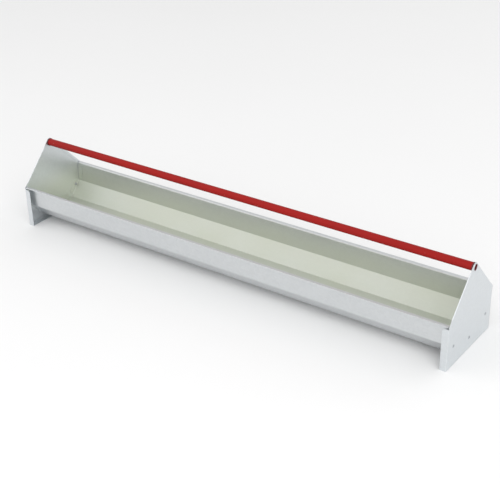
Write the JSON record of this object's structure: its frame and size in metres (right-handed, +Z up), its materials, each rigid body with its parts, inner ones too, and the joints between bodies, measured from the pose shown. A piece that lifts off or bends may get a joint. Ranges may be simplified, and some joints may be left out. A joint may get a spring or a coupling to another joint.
{
  "type": "trough feeder",
  "caption": "Long galvanised sheet-metal poultry trough between two end plates, with a free-spinning red anti-roost tube above it.",
  "frame": {"origin": "on the ground under the middle of the trough", "axes": "+X along the trough towards the right end plate, +Y across it towards the rear, +Z up"},
  "size_m": [1.0024, 0.17, 0.1735],
  "materials": {
    "galvanised_sheet": "hot-dip galvanised, small spangle, semi-bright",
    "red_paint": "satin powder coat",
    "plug_plastic": "matt moulded",
    "rivet_aluminium": "satin",
    "mandrel_steel": "dull, broken end"
  },
  "bodies": {
    "feeder": {"trough_pan": "galvanised_sheet", "left_end_plate": "galvanised_sheet", "right_end_plate": "galvanised_sheet", "left_front_rivet": "rivet_aluminium", "left_bottom_rivet": "rivet_aluminium", "left_rear_rivet": "rivet_aluminium", "right_front_rivet": "rivet_aluminium", "right_bottom_rivet": "rivet_aluminium", "right_rear_rivet": "rivet_aluminium", "left_front_mandrel": "mandrel_steel", "left_bottom_mandrel": "mandrel_steel", "left_rear_mandrel": "mandrel_steel", "right_front_mandrel": "mandrel_steel", "right_bottom_mandrel": "mandrel_steel", "right_rear_mandrel": "mandrel_steel"},
    "roost_bar": {"anti_roost_tube": "red_paint", "left_tube_plug": "plug_plastic", "right_tube_plug": "plug_plastic"}
  },
  "joints": [
    {"name": "roost_bar_spin", "type": "hinge", "parent": "feeder", "child": "roost_bar", "pos_m": [0, 0, 0.165], "axis": [1, 0, 0], "continuous": true}
  ]
}
